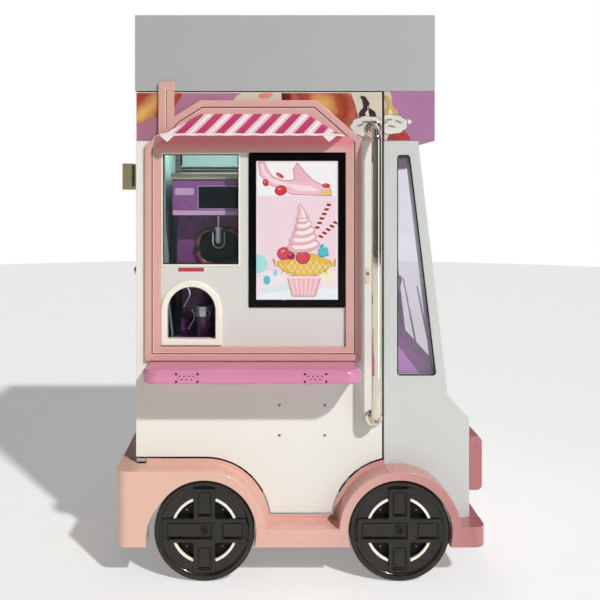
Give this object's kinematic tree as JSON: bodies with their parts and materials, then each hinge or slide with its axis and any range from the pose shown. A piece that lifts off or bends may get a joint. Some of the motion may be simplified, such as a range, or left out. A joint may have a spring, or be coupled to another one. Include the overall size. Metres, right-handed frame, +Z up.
{
  "type": "truck-shaped ice cream kiosk",
  "caption": "Soft-serve ice cream kiosk in the shape of a small truck, on wheels, with a hinged service door, counter, awning, display, pick-up hatch and rear door.",
  "frame": {"origin": "centre of the footprint of the whole model, on the ground it stands on", "axes": "+X towards the nose, +Y towards the left-hand side, +Z up"},
  "size_m": [1.437, 1.238, 2.169],
  "materials": {
    "body_paint": "satin",
    "cab_paint": "satin",
    "roof_paint": "satin",
    "skirt_paint": "satin",
    "frame_pink": "gloss",
    "awning_cloth": "satin",
    "counter_orchid": "gloss",
    "face_white": "gloss",
    "sign_orchid": "satin",
    "wheel_black": "gloss",
    "frame_steel": "satin",
    "jamb_grey": "satin",
    "lining_teal": "satin",
    "floor_grey": "satin",
    "machine_purple": "gloss",
    "machine_plum": "satin",
    "dash_purple": "satin",
    "bright_steel": "polished",
    "bronze": "satin",
    "hatch_cream": "gloss",
    "display_black": "gloss",
    "window_glass": "clear",
    "cab_tint": "clear",
    "lamp_lens": "clear"
  },
  "bodies": {
    "body": {"chassis_frame": "frame_steel", "floor_panel": "floor_grey", "axle_front": "frame_steel", "axle_rear": "frame_steel", "skirt_right": "skirt_paint", "skirt_left": "skirt_paint", "front_bumper": "skirt_paint", "rear_bumper": "skirt_paint", "door_frame": "jamb_grey", "rear_frame": "cab_paint", "left_side_panel": "body_paint", "bulkhead": "jamb_grey", "cab_side_right": "cab_paint", "cab_side_left": "cab_paint", "cab_glass": "cab_tint", "windshield_frame": "cab_paint", "nose_panel": "cab_paint", "bumper_bar": "frame_pink", "headlights": "lamp_lens", "cab_header": "sign_orchid", "roof_box": "roof_paint", "ceiling": "lining_teal", "dashboard": "dash_purple", "display_cell": "lining_teal", "machine_cabinet": "machine_plum", "machine_head": "machine_purple", "dispenser_nozzle": "bright_steel", "cup_holder": "bright_steel"},
    "service_door": {"service_door": "body_paint", "house_frame": "frame_pink", "awning": "awning_cloth", "face_panel": "face_white", "service_window": "window_glass", "display_screen": "display_black", "hatch_ring": "hatch_cream", "counter_shelf": "counter_orchid", "grab_rail": "bright_steel"},
    "rear_door": {"rear_door": "cab_paint", "rear_knob": "bright_steel", "rear_bracket": "bronze"},
    "wheel_front_right": {"wheel_front_right": "wheel_black"},
    "wheel_front_left": {"wheel_front_left": "wheel_black"},
    "wheel_rear_right": {"wheel_rear_right": "wheel_black"},
    "wheel_rear_left": {"wheel_rear_left": "wheel_black"}
  },
  "joints": [
    {"name": "service_door_hinge", "type": "hinge", "parent": "body", "child": "service_door", "pos_m": [-0.6215, -0.421, 1.1], "axis": [0, 0, -1], "range_deg": [0, 100]},
    {"name": "rear_door_hinge", "type": "hinge", "parent": "body", "child": "rear_door", "pos_m": [-0.6245, 0.395, 1.1], "axis": [0, 0, -1], "range_deg": [0, 105]},
    {"name": "wheel_front_right_spin", "type": "hinge", "parent": "body", "child": "wheel_front_right", "pos_m": [0.3725, -0.476, 0.191], "axis": [0, 1, 0], "continuous": true},
    {"name": "wheel_front_left_spin", "type": "hinge", "parent": "body", "child": "wheel_front_left", "pos_m": [0.3725, 0.554, 0.191], "axis": [0, 1, 0], "continuous": true},
    {"name": "wheel_rear_right_spin", "type": "hinge", "parent": "body", "child": "wheel_rear_right", "pos_m": [-0.3695, -0.476, 0.191], "axis": [0, 1, 0], "continuous": true},
    {"name": "wheel_rear_left_spin", "type": "hinge", "parent": "body", "child": "wheel_rear_left", "pos_m": [-0.3695, 0.554, 0.191], "axis": [0, 1, 0], "continuous": true}
  ]
}
